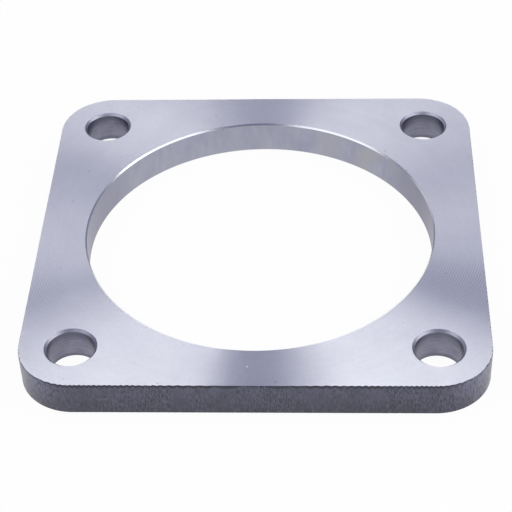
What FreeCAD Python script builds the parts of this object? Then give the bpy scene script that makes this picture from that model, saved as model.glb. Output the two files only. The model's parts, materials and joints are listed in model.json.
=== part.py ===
import FreeCAD, Part
import os
import Sketcher

# Square pipe flange, cut by laser from one steel plate.
# The plate is a square with round corners. Its large central bore takes the
# end of a pipe, and a bolt hole stands in each corner. The bore is turned and
# the bolt holes are drilled, and both are broken at the rims by a chamfer.
#
# Frame: millimetres, +Z up along the axis of the bore. The back face lies on
# Z = 0 and the origin is on the axis of the bore.

doc = FreeCAD.newDocument("square_flange")


# Driving dimensions
sizes = doc.addObject("Spreadsheet::Sheet", "sizes")
driving_dimensions = (
    ("plate_thickness", "7.9", "thickness of the plate, 5/16 inch"),
    ("bore_diameter", "77.5", "straight wall of the bore, clear of a 3 inch pipe"),
    ("rim_width", "10.45", "plate left between the bore and the middle of a side"),
    ("corner_radius", "12.0", "radius of the plate's four corners"),
    ("bolt_hole_diameter", "10.1", "straight wall of a bolt hole, for 3/8 inch bolts"),
    ("bolt_hole_inset", "11.1", "centre of a bolt hole to each of the two sides near it"),
    ("bore_chamfer", "0.35", "chamfer at both rims of the bore"),
    ("bolt_hole_chamfer", "0.55", "chamfer at both rims of a bolt hole"),
)
for row, (alias, value, meaning) in enumerate(driving_dimensions, start=1):
    sizes.set(f"A{row}", alias)
    sizes.set(f"B{row}", value)
    sizes.setAlias(f"B{row}", alias)
    sizes.set(f"C{row}", meaning)
doc.recompute()

# What follows from the driving dimensions
PLATE_SIDE = "(sizes.bore_diameter + 2 * sizes.rim_width)"
BOLT_HOLE_OFFSET = f"({PLATE_SIDE} / 2 - sizes.bolt_hole_inset)"
SQUARE_CORNERS = 4
SAME_SIZE = 1e-6


def bind(target, name, formula):
    """Tie one size of a sketch or a feature to the sheet."""
    target.setExpression(name, formula)


def front_face_sketch(body, name):
    """Start a sketch that lies on the plate's front face."""
    sketch = body.newObject("Sketcher::SketchObject", name)
    planes = [item for item in body.Origin.OriginFeatures if item.Role == "XY_Plane"]
    sketch.AttachmentSupport = [(planes[0], "")]
    sketch.MapMode = "FlatFace"
    bind(sketch, ".AttachmentOffset.Base.z", "sizes.plate_thickness")
    return sketch


def draw_rounded_square(sketch):
    """Draw four sides and four corner arcs, centred on the sketch's origin."""
    side = sizes.bore_diameter + 2 * sizes.rim_width
    half = side / 2
    flat = half - sizes.corner_radius
    turn = FreeCAD.Rotation(FreeCAD.Vector(0, 0, 1), 90)
    start = FreeCAD.Vector(-flat, -half, 0)
    end = FreeCAD.Vector(flat, -half, 0)
    arc_middle = FreeCAD.Vector(1, -1, 0).normalize() * sizes.corner_radius
    arc_middle += FreeCAD.Vector(flat, -flat, 0)
    arc_end = FreeCAD.Vector(half, -flat, 0)
    sides = []
    arcs = []
    for corner in range(SQUARE_CORNERS):
        sides.append(sketch.addGeometry(Part.LineSegment(start, end)))
        arcs.append(sketch.addGeometry(Part.Arc(end, arc_middle, arc_end)))
        start, end, arc_middle, arc_end = (
            turn.multVec(point) for point in (start, end, arc_middle, arc_end)
        )

    # A point of a line or an arc: 1 is its start and 2 is its end. The origin
    # is point 1 of geometry -1.
    for corner in range(SQUARE_CORNERS):
        next_side = sides[(corner + 1) % SQUARE_CORNERS]
        sketch.addConstraint(Sketcher.Constraint("Tangent", sides[corner], 2, arcs[corner], 1))
        sketch.addConstraint(Sketcher.Constraint("Tangent", arcs[corner], 2, next_side, 1))
    for arc in arcs[1:]:
        sketch.addConstraint(Sketcher.Constraint("Equal", arcs[0], arc))
    front, right, back, left = sides
    for level_side in (front, back):
        sketch.addConstraint(Sketcher.Constraint("Horizontal", level_side))
    for upright_side in (right, left):
        sketch.addConstraint(Sketcher.Constraint("Vertical", upright_side))
    sketch.addConstraint(Sketcher.Constraint("Symmetric", front, 1, back, 1, -1, 1))

    width = sketch.addConstraint(
        Sketcher.Constraint("DistanceX", left, 1, right, 1, side))
    depth = sketch.addConstraint(
        Sketcher.Constraint("DistanceY", front, 1, back, 1, side))
    radius = sketch.addConstraint(
        Sketcher.Constraint("Radius", arcs[0], sizes.corner_radius))
    sketch.renameConstraint(width, "width")
    sketch.renameConstraint(depth, "depth")
    sketch.renameConstraint(radius, "corner_radius")
    bind(sketch, "Constraints.width", PLATE_SIDE)
    bind(sketch, "Constraints.depth", PLATE_SIDE)
    bind(sketch, "Constraints.corner_radius", "sizes.corner_radius")


def draw_circle(sketch, diameter, offset=None):
    """Draw a circle on the sketch's origin, or offset from it along X and Y alike."""
    size = sizes.evalExpression(diameter)
    distance = sizes.evalExpression(offset) if offset else 0
    centre = FreeCAD.Vector(distance, distance, 0)
    sketch_normal = FreeCAD.Vector(0, 0, 1)
    circle = sketch.addGeometry(Part.Circle(centre, sketch_normal, size / 2))
    wall = sketch.addConstraint(Sketcher.Constraint("Diameter", circle, size))
    sketch.renameConstraint(wall, "diameter")
    bind(sketch, "Constraints.diameter", diameter)
    if offset is None:
        sketch.addConstraint(Sketcher.Constraint("Coincident", circle, 3, -1, 1))
        return
    for direction, name in (("DistanceX", "across"), ("DistanceY", "along")):
        step = sketch.addConstraint(
            Sketcher.Constraint(direction, -1, 1, circle, 3, distance))
        sketch.renameConstraint(step, name)
        bind(sketch, f"Constraints.{name}", offset)


def rims(shape, diameter):
    """Name the full circles of one diameter, which are the two rims of each hole."""
    names = []
    for number, edge in enumerate(shape.Edges, start=1):
        if not isinstance(edge.Curve, Part.Circle) or not edge.isClosed():
            continue
        if abs(2 * edge.Curve.Radius - diameter) < SAME_SIZE:
            names.append(f"Edge{number}")
    return names


# The flange: one plate
flange = doc.addObject("PartDesign::Body", "flange")
flange.Label = "flange"

# The plate is padded down from the front face to the back face
outline = front_face_sketch(flange, "plate_outline")
draw_rounded_square(outline)
plate = flange.newObject("PartDesign::Pad", "plate")
plate.Profile = outline
plate.Reversed = True
bind(plate, "Length", "sizes.plate_thickness")
doc.recompute()
plate_volume = plate.Shape.Volume

# The bore goes straight through the middle
bore_outline = front_face_sketch(flange, "bore_outline")
draw_circle(bore_outline, "sizes.bore_diameter")
bore = flange.newObject("PartDesign::Pocket", "bore")
bore.Profile = bore_outline
bore.Type = "ThroughAll"
doc.recompute()
ring_volume = bore.Shape.Volume

# One bolt hole is drilled, and the pattern turns it into the other corners
bolt_hole_place = front_face_sketch(flange, "bolt_hole_place")
draw_circle(bolt_hole_place, "sizes.bolt_hole_diameter", BOLT_HOLE_OFFSET)
doc.recompute()
bolt_hole = flange.newObject("PartDesign::Hole", "bolt_hole")
bolt_hole.Profile = bolt_hole_place
doc.recompute()
bolt_hole.Threaded = False
bolt_hole.DepthType = "ThroughAll"
bolt_hole.DrillPoint = "Flat"
bind(bolt_hole, "Diameter", "sizes.bolt_hole_diameter")
doc.recompute()

bolt_holes = flange.newObject("PartDesign::PolarPattern", "bolt_holes")
bolt_holes.Originals = [bolt_hole]
bolt_holes.Axis = (bolt_hole_place, ["N_Axis"])
bolt_holes.Angle = 360
bolt_holes.Occurrences = SQUARE_CORNERS
flange.Tip = bolt_holes
doc.recompute()
drilled_volume = bolt_holes.Shape.Volume

# Both rims of every hole lose their sharp edge
bore_rims = flange.newObject("PartDesign::Chamfer", "bore_rims")
bore_rims.Base = (bolt_holes, rims(bolt_holes.Shape, sizes.bore_diameter))
bind(bore_rims, "Size", "sizes.bore_chamfer")
flange.Tip = bore_rims
doc.recompute()

bolt_hole_rims = flange.newObject("PartDesign::Chamfer", "bolt_hole_rims")
bolt_hole_rims.Base = (bore_rims, rims(bore_rims.Shape, sizes.bolt_hole_diameter))
bind(bolt_hole_rims, "Size", "sizes.bolt_hole_chamfer")
flange.Tip = bolt_hole_rims
doc.recompute()


# Nothing is written unless every feature worked and every cut took metal away
for item in doc.Objects:
    if "Invalid" in item.State or "Error" in item.State:
        raise RuntimeError(f"{item.Label} failed: {item.State}")
for sketch in (outline, bore_outline, bolt_hole_place):
    if not sketch.FullyConstrained:
        raise RuntimeError(f"{sketch.Label} is not fully constrained")
volumes = (plate_volume, ring_volume, drilled_volume, flange.Shape.Volume)
if not all(after < before for before, after in zip(volumes, volumes[1:])):
    raise RuntimeError(f"a cut took nothing away: {volumes}")
if flange.Shape.isNull() or not flange.Shape.isValid() or len(flange.Shape.Solids) != 1:
    raise RuntimeError("the flange is not one valid solid")

os.makedirs("parts", exist_ok=True)
flange.Shape.exportStep(os.path.join("parts", f"{flange.Label}.step"))
box = flange.Shape.BoundBox
print(f"flange {box.XLength:.2f} x {box.YLength:.2f} x {box.ZLength:.2f} mm,"
      f" volume {flange.Shape.Volume:.0f} mm3")
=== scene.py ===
import json
import math

import bmesh
import bpy
from mathutils import Matrix, Vector, noise


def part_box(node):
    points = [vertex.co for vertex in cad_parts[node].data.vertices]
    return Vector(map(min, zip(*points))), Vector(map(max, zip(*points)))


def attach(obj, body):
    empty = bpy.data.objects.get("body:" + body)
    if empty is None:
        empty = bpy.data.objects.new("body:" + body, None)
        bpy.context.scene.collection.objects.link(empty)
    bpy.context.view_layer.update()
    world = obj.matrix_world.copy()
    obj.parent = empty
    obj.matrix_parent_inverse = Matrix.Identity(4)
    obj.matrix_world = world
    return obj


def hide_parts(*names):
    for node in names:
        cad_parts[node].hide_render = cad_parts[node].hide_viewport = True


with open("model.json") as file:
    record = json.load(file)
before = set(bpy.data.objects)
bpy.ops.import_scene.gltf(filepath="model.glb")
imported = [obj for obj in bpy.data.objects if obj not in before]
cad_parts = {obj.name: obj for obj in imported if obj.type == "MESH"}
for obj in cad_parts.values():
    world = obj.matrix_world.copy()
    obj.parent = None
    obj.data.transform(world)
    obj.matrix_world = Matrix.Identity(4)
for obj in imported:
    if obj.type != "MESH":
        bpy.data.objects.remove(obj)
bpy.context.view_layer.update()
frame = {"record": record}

MM = 0.001
plate_low, plate_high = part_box("flange")


# Camera
# It stands in front of the plate and looks down on it through a long lens. It
# is turned a little round the bore's axis and tipped a little to one side.
view_azimuth = math.radians(3.478)
view_elevation = math.radians(41.259)
view_tip = math.radians(-2.351)
view_distance = 362.6 * MM
aim_right = -0.85 * MM
aim_up = -6.3 * MM

to_lens = Vector((
    math.sin(view_azimuth) * math.cos(view_elevation),
    -math.cos(view_azimuth) * math.cos(view_elevation),
    math.sin(view_elevation),
))
level_right = Vector((math.cos(view_azimuth), math.sin(view_azimuth), 0))
level_up = to_lens.cross(level_right)
frame_right = level_right * math.cos(view_tip) + level_up * math.sin(view_tip)
frame_up = to_lens.cross(frame_right)
face_centre = Vector((0, 0, plate_high.z))
lens_place = face_centre + to_lens * view_distance + frame_right * aim_right + frame_up * aim_up
lens_turn = Matrix((frame_right, frame_up, to_lens)).transposed().to_4x4()

camera = bpy.data.objects.new("camera", bpy.data.cameras.new("camera"))
camera.data.sensor_width = 36
camera.data.lens = 113.8
camera.data.clip_start = 10 * MM
camera.matrix_world = Matrix.Translation(lens_place) @ lens_turn
bpy.context.scene.collection.objects.link(camera)
bpy.context.scene.camera = camera


# Studio
# The plate lies on a white table. A large soft lamp hangs over each side and a
# low, dim one stands behind. The gap between the two large ones is what the
# turned face shows as darker bands.
class Wire:
    """One socket of a finish. Sums and products of wires add the nodes that make them."""

    def __init__(self, tree, socket=None):
        self.tree = tree
        self.socket = socket

    def node(self, kind, settings=None, inputs=None, output=0):
        """Add a node: its settings first, then the values or wires of its sockets."""
        made = self.tree.nodes.new(kind)
        for name, value in (settings or {}).items():
            setattr(made, name, value)
        for name, value in (inputs or {}).items():
            if isinstance(value, Wire):
                self.tree.links.new(value.socket, made.inputs[name])
            else:
                made.inputs[name].default_value = value
        return Wire(self.tree, made.outputs[output]) if made.outputs else None

    def math(self, operation, first, second=0.0):
        return self.node("ShaderNodeMath", {"operation": operation}, {0: first, 1: second})

    def __add__(self, other):
        return self.math("ADD", self, other)

    __radd__ = __add__

    def __sub__(self, other):
        return self.math("SUBTRACT", self, other)

    def __rsub__(self, other):
        return self.math("SUBTRACT", other, self)

    def __mul__(self, other):
        return self.math("MULTIPLY", self, other)

    __rmul__ = __mul__

    def __truediv__(self, other):
        return self.math("DIVIDE", self, other)


def new_finish(name):
    """Start a material with no nodes, and return it with a wire to build on."""
    finish = bpy.data.materials.new(name)
    finish.use_nodes = True
    finish.node_tree.nodes.clear()
    return finish, Wire(finish.node_tree)


def seen_directly(paper):
    """1 for what the lens sees, by itself or in a reflection or through glass."""
    camera_ray, glossy_ray, glass_ray = (
        paper.node("ShaderNodeLightPath", output=name)
        for name in ("Is Camera Ray", "Is Glossy Ray", "Is Transmission Ray")
    )
    return paper.math("MAXIMUM", paper.math("MAXIMUM", camera_ray, glossy_ray), glass_ray)


pure_white = (1, 1, 1, 1)
table_white = (0.9, 0.9, 0.9, 1)
table_size = 3.0
table_glow = 0.96

white_table, paper = new_finish("white_table")
lit = paper.node("ShaderNodeBsdfDiffuse", inputs={"Color": table_white})
plain = paper.node("ShaderNodeEmission", inputs={"Color": pure_white, "Strength": 1})
plain_share = seen_directly(paper) * table_glow
shown = paper.node("ShaderNodeMixShader", inputs={0: plain_share, 1: lit, 2: plain})
paper.node("ShaderNodeOutputMaterial", inputs={"Surface": shown})

table_mesh = bmesh.new()
bmesh.ops.create_grid(table_mesh, x_segments=1, y_segments=1, size=table_size / 2)
table = bpy.data.objects.new("table", bpy.data.meshes.new("table"))
table_mesh.to_mesh(table.data)
table_mesh.free()
table.data.materials.append(white_table)
bpy.context.scene.collection.objects.link(table)

sky_colour = (0.61, 0.62, 1.0, 1)
sky_level = 0.33
sky = bpy.data.worlds.new("sky")
sky.use_nodes = True
sky.node_tree.nodes.clear()
paper = Wire(sky.node_tree)
dim = paper.node("ShaderNodeBackground", inputs={"Color": sky_colour, "Strength": sky_level})
white = paper.node("ShaderNodeBackground", inputs={"Color": pure_white, "Strength": 1})
by_lens = paper.node("ShaderNodeLightPath", output="Is Camera Ray")
shown = paper.node("ShaderNodeMixShader", inputs={0: by_lens, 1: dim, 2: white})
paper.node("ShaderNodeOutputWorld", inputs={"Surface": shown})
bpy.context.scene.world = sky


def hang_lamp(name, place, aim, width, height, turn, power):
    """Hang one soft rectangular lamp that faces a point and is turned about its own axis."""
    lamp = bpy.data.objects.new(name, bpy.data.lights.new(name, "AREA"))
    lamp.data.shape = "RECTANGLE"
    lamp.data.size = width
    lamp.data.size_y = height
    lamp.data.energy = power
    facing = (aim - place).to_track_quat("-Z", "Y").to_matrix() @ Matrix.Rotation(turn, 3, "Z")
    lamp.matrix_world = Matrix.Translation(place) @ facing.to_4x4()
    bpy.context.scene.collection.objects.link(lamp)


hang_lamp(
    "left_lamp", place=Vector((-0.427, 0.095, 0.763)), aim=Vector((0.052, 0.410, 0.008)),
    width=0.602, height=1.229, turn=0.806, power=3.45)
hang_lamp(
    "right_lamp", place=Vector((0.303, -0.086, 0.455)), aim=Vector((-0.379, -0.325, 0.008)),
    width=0.554, height=0.805, turn=-0.615, power=2.3)
hang_lamp(
    "back_lamp", place=Vector((-0.057, 0.392, 0.243)), aim=Vector((0.112, 0.002, 0.008)),
    width=0.911, height=0.237, turn=-0.239, power=0.267)

bpy.context.scene.view_settings.view_transform = "Standard"


# Turned blank
# The steel plate is held in a lathe, and its face and its bore are turned in
# one setting. The tool's round nose moves out by one feed each turn, so the
# face is a row of shallow rings round the bore.
sizes = {mount["name"]: mount["dims"] for mount in frame["record"]["mounts"]}
thickness = plate_high.z - plate_low.z
plate_side = plate_high.x - plate_low.x
bore_radius = sizes["pipe_bore"]["r_mm"] * MM
bore_chamfer = (thickness - sizes["pipe_bore"]["length_mm"] * MM) / 2
feed = 0.56 * MM
nose_radius = 1.8 * MM
nose_steps = 4
turn_steps = 480
blank_radius = 66 * MM
spare = 1.0 * MM


def in_millimetres(paper, scale=(1, 1, 1)):
    """The place on the piece in millimetres, stretched or squeezed along each axis."""
    place = paper.node("ShaderNodeTexCoord", output="Object")
    stretch = tuple(part / MM for part in scale)
    return paper.node("ShaderNodeVectorMath", {"operation": "MULTIPLY"}, {0: place, 1: stretch})


def grain(where, scale=1.0, detail=2.0, roughness=0.5):
    """Soft random grain, from about 0.2 to 0.8, at a wire of coordinates."""
    return where.node("ShaderNodeTexNoise", inputs={
        "Vector": where, "Scale": scale, "Detail": detail, "Roughness": roughness})


def rise(value, low, high):
    """0 below one value of a wire and 1 above another, with a soft step between them."""
    return value.node(
        "ShaderNodeMapRange", {"interpolation_type": "SMOOTHSTEP"},
        {"Value": value, "From Min": low, "From Max": high})


def blend_colours(share, first, second):
    """Go from one colour to another as a wire goes from 0 to 1."""
    return share.node(
        "ShaderNodeMix", {"data_type": "RGBA"}, {0: share, 6: first, 7: second}, output=2)


def round_bore(paper, across, streak_length, streak_width):
    """Coordinates in which plain grain becomes streaks that run round the bore's axis."""
    heading = paper.node(
        "ShaderNodeVectorMath", {"operation": "NORMALIZE"}, {0: in_millimetres(paper, (1, 1, 0))})
    along = paper.node(
        "ShaderNodeVectorMath", {"operation": "SCALE"},
        {0: heading, "Scale": bore_radius / streak_length})
    step = paper.node("ShaderNodeCombineXYZ", inputs={"Z": across / (streak_width / MM)})
    return paper.node("ShaderNodeVectorMath", {"operation": "ADD"}, {0: along, 1: step})


def reach(paper):
    """Distance from the bore's axis in millimetres."""
    return paper.node(
        "ShaderNodeVectorMath", {"operation": "LENGTH"}, {0: in_millimetres(paper, (1, 1, 0))},
        output="Value")


def part_of_place(paper, axis):
    """The place on the piece along one axis, in millimetres."""
    return paper.node("ShaderNodeSeparateXYZ", inputs={"Vector": in_millimetres(paper)}, output=axis)


def height(paper):
    """Height above the back face in millimetres."""
    return part_of_place(paper, "Z")


def dots(paper, cell, share, size):
    """Small round spots: 1 inside them, in the given share of the cells of a random pattern."""
    settings = {"feature": "F1"}
    where = {"Vector": in_millimetres(paper), "Scale": MM / cell}
    near = paper.node("ShaderNodeTexVoronoi", settings, where, output="Distance")
    pick = paper.node("ShaderNodeTexVoronoi", settings, where, output="Color")
    chance = paper.node("ShaderNodeSeparateColor", inputs={0: pick}, output=0)
    edge = rise(chance, 1 - share, 1) * (size / cell)
    return rise(edge - near, 0, size / cell / 3)


def nick(paper, place, length, width):
    """A short dent, placed and sized in millimetres: 1 at its middle and 0 past its rim."""
    past_middle = paper.node(
        "ShaderNodeMapping", {"vector_type": "TEXTURE"},
        {"Vector": in_millimetres(paper), "Location": place, "Scale": (length / 2, width / 2, 1)})
    distance = paper.node(
        "ShaderNodeVectorMath", {"operation": "LENGTH"}, {0: past_middle}, output="Value")
    return 1 - rise(distance, 0, 1)


def ring_wave(paper):
    """0 on the crests between the turned rings and 1 at the bottom of each ring."""
    past_bore = reach(paper) - (bore_radius + bore_chamfer) / MM
    return paper.math("PINGPONG", past_bore, feed / MM / 2) * (2 * MM / feed)


def bumps(paper, relief, depth):
    """Raise or sink the surface by a wire, over a real depth."""
    return paper.node("ShaderNodeBump", inputs={"Height": relief, "Distance": depth, "Strength": 1.0})


def bare_metal(paper, colour, roughness, normal, **plain_values):
    """End a finish in one metal shader."""
    values = {"Base Color": colour, "Metallic": 1.0, "Roughness": roughness, "Normal": normal}
    shader = paper.node("ShaderNodeBsdfPrincipled", inputs=values | plain_values)
    paper.node("ShaderNodeOutputMaterial", inputs={"Surface": shader})


# The tool leaves fine streaks along each ring, which spread a reflection across
# the rings and keep it narrow along them. Painted shade darkens the bottoms of
# the rings at both sides towards the front, where their reflection breaks into a dark hatch.
dull_face = (0.845, 0.857, 0.865, 1)
bright_face = (0.955, 0.967, 0.967, 1)
shaded_groove = (0.52, 0.53, 0.58, 1)
dark_speck = (0.62, 0.62, 0.68, 1)
bright_speck = (0.95, 0.95, 0.98, 1)

turned_face, paper = new_finish("turned_face")
tool_marks = grain(round_bore(paper, reach(paper), 4 * MM, 0.09 * MM), detail=3)
tool_bands = grain(round_bore(paper, reach(paper), 60 * MM, 0.9 * MM), detail=2)
cloud = grain(in_millimetres(paper), 0.11, detail=4)
mottle = grain(in_millimetres(paper), 1.3, detail=3)
dark_specks = dots(paper, 2.4 * MM, 0.35, 0.25 * MM)
bright_specks = dots(paper, 7.5 * MM, 0.25, 0.25 * MM)
dent = nick(paper, (-1.45, -43.7, 7.9), 1.1, 1.3)
tone = 0.5 + (tool_marks - 0.5) * 0.2 + (tool_bands - 0.5) * 0.15
tone = tone + (cloud - 0.5) * 0.5 + (mottle - 0.5) * 0.3
steel = blend_colours(rise(tone, 0.2, 0.8), dull_face, bright_face)
to_right = part_of_place(paper, "X")
to_back = part_of_place(paper, "Y")
# Painted shade: the bottoms of the rings are darkened at the left and right sides, towards the front.
groove_shade = rise(to_right, 30, 38) * 0.5 + rise(to_right * -1, 38, 46) * 0.4
groove_shade = groove_shade * (rise(to_back, -34, -24) - rise(to_back, -20, -4))
groove_shade = groove_shade * rise(cloud, 0.2, 0.6) * rise(ring_wave(paper), 0.2, 0.9)
steel = blend_colours(groove_shade, steel, shaded_groove)
steel = blend_colours(dark_specks, steel, dark_speck)
steel = blend_colours(bright_specks, steel, bright_speck)
bare_metal(
    paper, steel, 0.278 + cloud * 0.024,
    bumps(paper, tool_marks - dark_specks * 0.15 - bright_specks * 0.15 - dent * 5.5, 0.004 * MM),
    Anisotropic=1.0, **{"Anisotropic Rotation": 0.25, "Specular Tint": (0.5, 0.5, 0.55, 1)})

# The bored wall is darker than the face, with painted shade towards its left and right ends, and it has
# a few grey smudges.
dull_bore = (0.295, 0.30, 0.40, 1)
bright_bore = (0.435, 0.44, 0.53, 1)
smudge = (0.39, 0.39, 0.395, 1)
shaded_bore_side = (0.225, 0.22, 0.29, 1)

bored_wall, paper = new_finish("bored_wall")
tool_marks = grain(round_bore(paper, height(paper), 5 * MM, 0.1 * MM), detail=3)
cloud = grain(in_millimetres(paper, (1, 1, 0.6)), 0.2, detail=5, roughness=0.6)
smears = grain(in_millimetres(paper, (1, 1, 0.3)), 0.9, detail=3)
tone = 0.5 + (tool_marks - 0.5) * 0.25 + (cloud - 0.5) * 0.6 + (smears - 0.5) * 0.3
steel = blend_colours(rise(tone, 0.2, 0.8), dull_bore, bright_bore)
to_right = part_of_place(paper, "X")
smudges = rise(grain(in_millimetres(paper), 0.16, detail=5, roughness=0.6), 0.36, 0.64)
smudged = smudges * (0.2 + (rise(to_right, 4, 22) - rise(to_right, 26, 34)) * 0.5)
steel = blend_colours(smudged, steel, smudge)
# Painted shade: the wall darkens towards its left and right ends, more on the right.
side_shade = rise(to_right, 26, 38) * 0.85 + rise(to_right * -1, 29, 38) * 0.5
steel = blend_colours(side_shade, steel, shaded_bore_side)
bare_metal(
    paper, steel, 0.38 + (cloud - 0.5) * 0.15, bumps(paper, tool_marks + smears * 0.5, 0.002 * MM))

dull_rim = (0.56, 0.56, 0.58, 1)
bright_rim = (0.68, 0.68, 0.70, 1)
highlight_rim = (0.88, 0.88, 0.84, 1)

bore_rim, paper = new_finish("bore_rim")
tool_marks = grain(round_bore(paper, height(paper), 8 * MM, 0.07 * MM), detail=2)
steel = blend_colours(rise(tool_marks, 0.3, 0.7), dull_rim, bright_rim)
# Painted highlight: the rim is lighter towards its left and right ends.
rim_highlight = rise(paper.math("ABSOLUTE", part_of_place(paper, "X")), 24, 34)
steel = blend_colours(rim_highlight, steel, highlight_rim)
bare_metal(paper, steel, 0.2 + tool_marks * 0.06, bumps(paper, tool_marks, 0.002 * MM))


def new_object(name, mesh, finishes):
    """Make an object of a bmesh, with its finishes in the order of their numbers."""
    made = bpy.data.objects.new(name, bpy.data.meshes.new(name))
    bmesh.ops.recalc_face_normals(mesh, faces=mesh.faces)
    mesh.to_mesh(made.data)
    mesh.free()
    for finish in finishes:
        made.data.materials.append(finish)
    bpy.context.scene.collection.objects.link(made)
    return made


def draw_on(mesh, start, points):
    """Draw straight edges from a vertex through a few points, and return the last vertex."""
    for point in points:
        drawn = bmesh.ops.extrude_vert_indiv(mesh, verts=[start])
        start = drawn["verts"][0]
        start.co = point
    return start


def points_of(geometry):
    return [item for item in geometry if isinstance(item, bmesh.types.BMVert)]


half_bite = math.asin(feed / 2 / nose_radius)
first_crest = Vector((bore_radius + bore_chamfer, 0, thickness))
nose_centre = first_crest + Vector((feed / 2, 0, nose_radius * math.cos(half_bite)))
ring_count = math.ceil((blank_radius - first_crest.x) / feed)

blank = bmesh.new()
inner_crest = blank.verts.new(first_crest)
bmesh.ops.spin(
    blank, geom=[inner_crest], cent=nose_centre, axis=(0, 1, 0), angle=-2 * half_bite, steps=nose_steps)
ring_profile = blank.verts[:] + blank.edges[:]
for ring in range(1, ring_count):
    copied = bmesh.ops.duplicate(blank, geom=ring_profile)["geom"]
    bmesh.ops.translate(blank, vec=(ring * feed, 0, 0), verts=points_of(copied))
bmesh.ops.remove_doubles(blank, verts=blank.verts, dist=feed / 1000)
blank.verts.ensure_lookup_table()
inner_crest = min(blank.verts, key=lambda vert: vert.co.x)
outer_crest = max(blank.verts, key=lambda vert: vert.co.x)
under_bore = draw_on(blank, inner_crest, [
    Vector((bore_radius, 0, thickness - bore_chamfer)),
    Vector((bore_radius, 0, bore_chamfer)),
    Vector((bore_radius + bore_chamfer + spare, 0, -spare)),
])
under_rim = draw_on(blank, outer_crest, [Vector((outer_crest.co.x, 0, -spare))])
bmesh.ops.contextual_create(blank, geom=[under_bore, under_rim])
bmesh.ops.spin(
    blank, geom=blank.verts[:] + blank.edges[:], cent=(0, 0, 0), axis=(0, 0, 1), angle=2 * math.pi,
    steps=turn_steps, use_merge=True)

WALL = 1
RIM = 2
for face in blank.faces:
    middle = face.calc_center_median()
    if middle.xy.length < bore_radius + bore_chamfer + spare and middle.z < thickness - bore_chamfer / 4:
        upright = abs(middle.z - thickness / 2) < thickness / 4
        face.material_index = WALL if upright else RIM
flange = new_object("turned_flange", blank, [turned_face, bored_wall, bore_rim])


# Laser cut outline
# The square is cut out of the turned blank by laser. The beam leaves fine
# upright striations that lag behind it towards the back face, and the rings of
# the face break out into small teeth where it crosses them.
corner_radius = 12 * MM
corner_columns = 120
side_columns = 440
row_heights = [
    0.12 * MM, 1.3 * MM, 2.9 * MM, 4.5 * MM, 6.1 * MM, 7.2 * MM, 7.45 * MM, 7.6 * MM, 7.75 * MM]
striation_depth = 0.03 * MM
striation_pitch = 0.55 * MM
striation_lag = 0.8 * MM
tooth_depth = 0.27 * MM
tooth_height = 0.45 * MM
edge_break = 0.07 * MM

# The wall is lighter and bluer round the corners, most towards the face.
deep_oxide = (0.022, 0.022, 0.041, 1)
light_oxide = (0.107, 0.107, 0.158, 1)
corner_colour = (0.21, 0.21, 0.31, 1)
lag_slope = 0.14

laser_cut_wall, paper = new_finish("laser_cut_wall")
lean = paper.node("ShaderNodeCombineXYZ", inputs={
    "X": height(paper) * lag_slope, "Y": height(paper) * lag_slope})
upright = paper.node(
    "ShaderNodeVectorMath", {"operation": "ADD"}, {0: in_millimetres(paper, (1, 1, 0.14)), 1: lean})
fine_lines = grain(upright, 5.0, detail=2)
wide_lines = grain(upright, 1.6, detail=2)
scale_blots = grain(in_millimetres(paper), 0.3, detail=3)
speckle = grain(in_millimetres(paper), 4.5, detail=1)
patchy = 0.45 + rise(grain(in_millimetres(paper, (1, 1, 0.4)), 0.16, detail=1), 0.38, 0.62)
tone = 0.5 + ((fine_lines - 0.5) * 2.2 + (speckle - 0.5) * 0.6) * patchy
tone = tone + (wide_lines - 0.5) * 0.4 + (scale_blots - 0.5) * 0.5
tone = tone + (rise(height(paper), 0, 6.5) - 0.5) * 0.2
# Painted shade: the bottom half millimetre of the wall is darker, along the table.
tone = tone - (1 - rise(height(paper), 0.05, 0.5)) * 0.3
# Painted shade: the wall darkens in scallops just under the top edge, in step with the rings.
scallop_shade = rise(height(paper) + ring_wave(paper) * 0.8, 7.55, 7.95) * rise(height(paper), 6.8, 7.3)
tone = tone - scallop_shade * 0.6
oxide = blend_colours(rise(tone, 0.1, 0.9), deep_oxide, light_oxide)
off_middle_x = paper.math("ABSOLUTE", part_of_place(paper, "X"))
off_middle_y = paper.math("ABSOLUTE", part_of_place(paper, "Y"))
into_corner = paper.math("MINIMUM", off_middle_x, off_middle_y)
lighter_corners = rise(into_corner, 38, 45) * (0.25 + rise(height(paper), 2, 7.5) * 0.75)
oxide = blend_colours(lighter_corners * rise(fine_lines, 0.3, 0.7), oxide, corner_colour)
bare_metal(
    paper, oxide, 0.38 + (scale_blots - 0.5) * 0.2,
    bumps(paper, fine_lines + wide_lines * 0.5 + speckle * 0.5, 0.012 * MM),
    Metallic=0.2, **{"Coat Weight": 0.35, "Coat Roughness": 0.3})

dull_back = (0.40, 0.40, 0.45, 1)
bright_back = (0.54, 0.54, 0.59, 1)

back_face, paper = new_finish("back_face")
roll_lines = grain(in_millimetres(paper, (0.12, 5, 1)), 1.0, detail=3)
cloud = grain(in_millimetres(paper), 0.08, detail=5, roughness=0.6)
tone = 0.5 + (roll_lines - 0.5) * 0.6 + (cloud - 0.5) * 0.8
steel = blend_colours(rise(tone, 0.2, 0.8), dull_back, bright_back)
bare_metal(paper, steel, 0.38 + (cloud - 0.5) * 0.15, bumps(paper, roll_lines, 0.004 * MM))

outline = bmesh.new()
bmesh.ops.create_cube(outline, size=1)
bmesh.ops.scale(outline, vec=(plate_side, plate_side, thickness + spare), verts=outline.verts)
bmesh.ops.translate(outline, vec=(0, 0, (thickness + spare) / 2), verts=outline.verts)


def is_upright(edge):
    return abs(edge.verts[0].co.z - edge.verts[1].co.z) > thickness / 2


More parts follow.
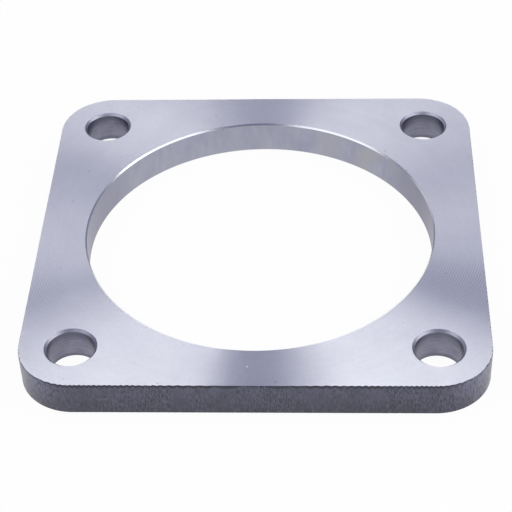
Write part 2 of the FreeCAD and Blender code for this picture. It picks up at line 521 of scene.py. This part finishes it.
bmesh.ops.bevel(
    outline, geom=[edge for edge in outline.edges if is_upright(edge)], offset=corner_radius,
    segments=corner_columns, profile=0.5, affect="EDGES", material=-1)
caps = [face for face in outline.faces if abs(face.normal.z) > 0.5]
bmesh.ops.delete(outline, geom=caps, context="FACES_ONLY")
flat_side = plate_side - 2 * corner_radius
long_edges = [edge for edge in outline.edges if edge.calc_length() > flat_side * 0.9]
bmesh.ops.subdivide_edges(outline, edges=long_edges, cuts=side_columns)
for row_height in row_heights + [thickness]:
    everything = outline.verts[:] + outline.edges[:] + outline.faces[:]
    bmesh.ops.bisect_plane(outline, geom=everything, plane_co=(0, 0, row_height), plane_no=(0, 0, 1))


def soft_step(value, low, high):
    """0 below one value and 1 above another, with a soft step between them."""
    share = max(0.0, min(1.0, (value - low) / (high - low)))
    return share * share * (3 - 2 * share)


def wear_of_wall(place, outward):
    """Depth that the beam and the breaking edge take off the wall at a point of it."""
    along = Vector((-outward.y, outward.x, 0))
    depth_share = 1 - min(place.z / thickness, 1)
    beam = place + along * striation_lag * depth_share ** 2
    streak = noise.noise(Vector((beam.x, beam.y, beam.z * 0.12)) / striation_pitch)
    wear = striation_depth * (0.5 + 0.5 * streak)
    ring_phase = ((place.xy.length - first_crest.x) / feed) % 1
    slant = abs(place.xy.normalized().dot(along.xy))
    unevenness = 0.55 + 0.45 * noise.noise(place / (1.7 * MM))
    tooth = abs(2 * ring_phase - 1) ** 1.5 * soft_step(slant, 0.06, 0.3) * unevenness
    near_face = soft_step(place.z, thickness - tooth_height, thickness)
    wear += (edge_break + tooth_depth * tooth) * near_face
    return wear + edge_break * (1 - soft_step(place.z, 0, row_heights[0]))


core = plate_side / 2 - corner_radius
for vert in outline.verts:
    inner = Vector((max(-core, min(core, vert.co.x)), max(-core, min(core, vert.co.y)), vert.co.z))
    outward = (vert.co - inner).normalized()
    vert.co -= outward * wear_of_wall(vert.co, outward)
cap_edges = [edge for edge in outline.edges if edge.is_boundary]
caps = bmesh.ops.holes_fill(outline, edges=cap_edges, sides=0)["faces"]
for cap in caps:
    cap.material_index = 1
outline_cutter = new_object("outline_cutter", outline, [laser_cut_wall, back_face])


# Bolt holes
# Each hole is drilled, and the rims are broken with a larger drill from both
# faces.
hole_radius = sizes["corner_bolts"]["hole_r_mm"] * MM
hole_chamfer = 0.55 * MM
hole_steps = 96
hole_spacing = (sizes["corner_bolts"]["spacing_x_mm"], sizes["corner_bolts"]["spacing_y_mm"], 0)
hole_place = Vector(hole_spacing) / 2 * MM
dull_drilled = (0.15, 0.15, 0.205, 1)
bright_drilled = (0.265, 0.265, 0.34, 1)
dull_hole_rim = (0.36, 0.36, 0.41, 1)
bright_hole_rim = (0.50, 0.50, 0.56, 1)

drilled_wall, paper = new_finish("drilled_wall")
drill_lines = grain(in_millimetres(paper, (0.25, 0.25, 7)), 1.0, detail=3)
cloud = grain(in_millimetres(paper), 0.35, detail=4)
tone = 0.56 + (drill_lines - 0.5) * 0.7 + (cloud - 0.5) * 0.7
# Painted shade: the wall darkens just under the top rim and towards the bottom of the hole.
tone = tone - rise(height(paper), 4.5, 7.3) * 0.22 - (1 - rise(height(paper), 0.6, 1.8)) * 0.4
steel = blend_colours(rise(tone, 0.2, 0.8), dull_drilled, bright_drilled)
bare_metal(paper, steel, 0.38 + (cloud - 0.5) * 0.15, bumps(paper, drill_lines, 0.005 * MM))

hole_rim, paper = new_finish("hole_rim")
drill_lines = grain(in_millimetres(paper, (0.5, 0.5, 9)), 1.0, detail=2)
steel = blend_colours(rise(drill_lines, 0.3, 0.7), dull_hole_rim, bright_hole_rim)
bare_metal(paper, steel, 0.44, bumps(paper, drill_lines, 0.003 * MM))

holes = bmesh.new()
foot = holes.verts.new((0, 0, -spare))
draw_on(holes, foot, [
    Vector((hole_radius + hole_chamfer + spare, 0, -spare)),
    Vector((hole_radius, 0, hole_chamfer)),
    Vector((hole_radius, 0, thickness - hole_chamfer)),
    Vector((hole_radius + hole_chamfer + spare, 0, thickness + spare)),
    Vector((0, 0, thickness + spare)),
])
bmesh.ops.spin(
    holes, geom=holes.verts[:] + holes.edges[:], cent=(0, 0, 0), axis=(0, 0, 1), angle=2 * math.pi,
    steps=hole_steps, use_merge=True)
bmesh.ops.remove_doubles(holes, verts=holes.verts, dist=MM / 1000)
for face in holes.faces:
    middle_height = face.calc_center_median().z
    face.material_index = 0 if abs(middle_height - thickness / 2) < thickness / 4 else 1
one_hole = holes.verts[:] + holes.edges[:] + holes.faces[:]
bmesh.ops.translate(holes, vec=hole_place, verts=holes.verts)
for quarter in range(1, 4):
    copied = bmesh.ops.duplicate(holes, geom=one_hole)["geom"]
    quarter_turn = Matrix.Rotation(quarter * math.pi / 2, 3, "Z")
    bmesh.ops.rotate(holes, cent=(0, 0, 0), matrix=quarter_turn, verts=points_of(copied))
hole_cutter = new_object("hole_cutter", holes, [drilled_wall, hole_rim])


def cut(piece, cutter, operation):
    """Cut a piece with another, which leaves its own finish on the new walls."""
    boolean = piece.modifiers.new("cut", "BOOLEAN")
    boolean.operation = operation
    boolean.object = cutter
    boolean.solver = "EXACT"
    boolean.material_mode = "TRANSFER"
    shaped = piece.evaluated_get(bpy.context.evaluated_depsgraph_get())
    mesh = bpy.data.meshes.new_from_object(shaped)
    piece.modifiers.clear()
    piece.data = mesh
    bpy.data.objects.remove(cutter)


cut(flange, hole_cutter, "DIFFERENCE")
cut(flange, outline_cutter, "INTERSECT")
flange.data.shade_smooth()
flange.data.set_sharp_from_angle(angle=math.radians(20))

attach(flange, "root")
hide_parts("flange")
